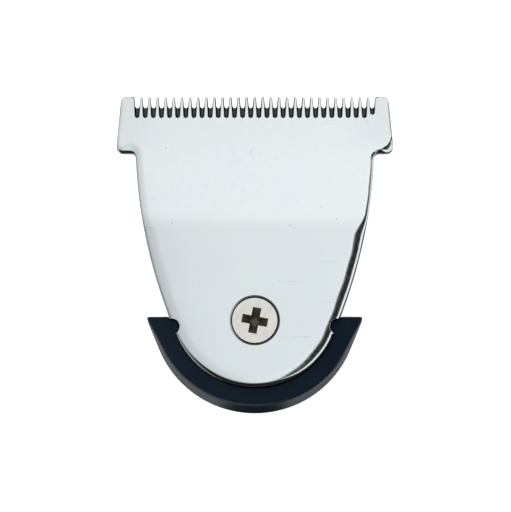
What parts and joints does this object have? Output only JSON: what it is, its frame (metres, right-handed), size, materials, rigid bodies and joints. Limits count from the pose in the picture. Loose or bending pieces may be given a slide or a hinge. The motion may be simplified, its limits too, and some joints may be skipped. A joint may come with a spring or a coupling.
{
  "type": "hair clipper blade",
  "caption": "Clip-on trimmer blade set: plated comb plate with rolled edges, a cutter that slides behind it, a flat-head screw and a black moulded carrier with a rounded rim.",
  "frame": {"origin": "middle of the width and of the length, on the plane that the carrier's back rests on", "axes": "+X across the comb, to the right as seen from the front; +Y along the length toward the teeth; +Z out of the front face"},
  "size_m": [0.034, 0.0388, 0.008],
  "materials": {
    "nickel_plate": "bright plated, softly polished",
    "cutter_steel": "ground and blackened",
    "acetal": "natural acetal",
    "spring_steel": "drawn wire",
    "carrier_plastic": "blue-black, half gloss, moulded",
    "screw_steel": "plain bright plating"
  },
  "bodies": {
    "holder": {"fixed_blade": "nickel_plate", "blade_carrier": "carrier_plastic", "carrier_screw": "screw_steel", "tension_spring": "spring_steel"},
    "cutter": {"moving_blade": "cutter_steel", "cutter_driver": "acetal"}
  },
  "joints": [
    {"name": "cutter_slide", "type": "slide", "parent": "holder", "child": "cutter", "axis": [1, 0, 0], "range_m": [-0.001, 0.001]}
  ]
}
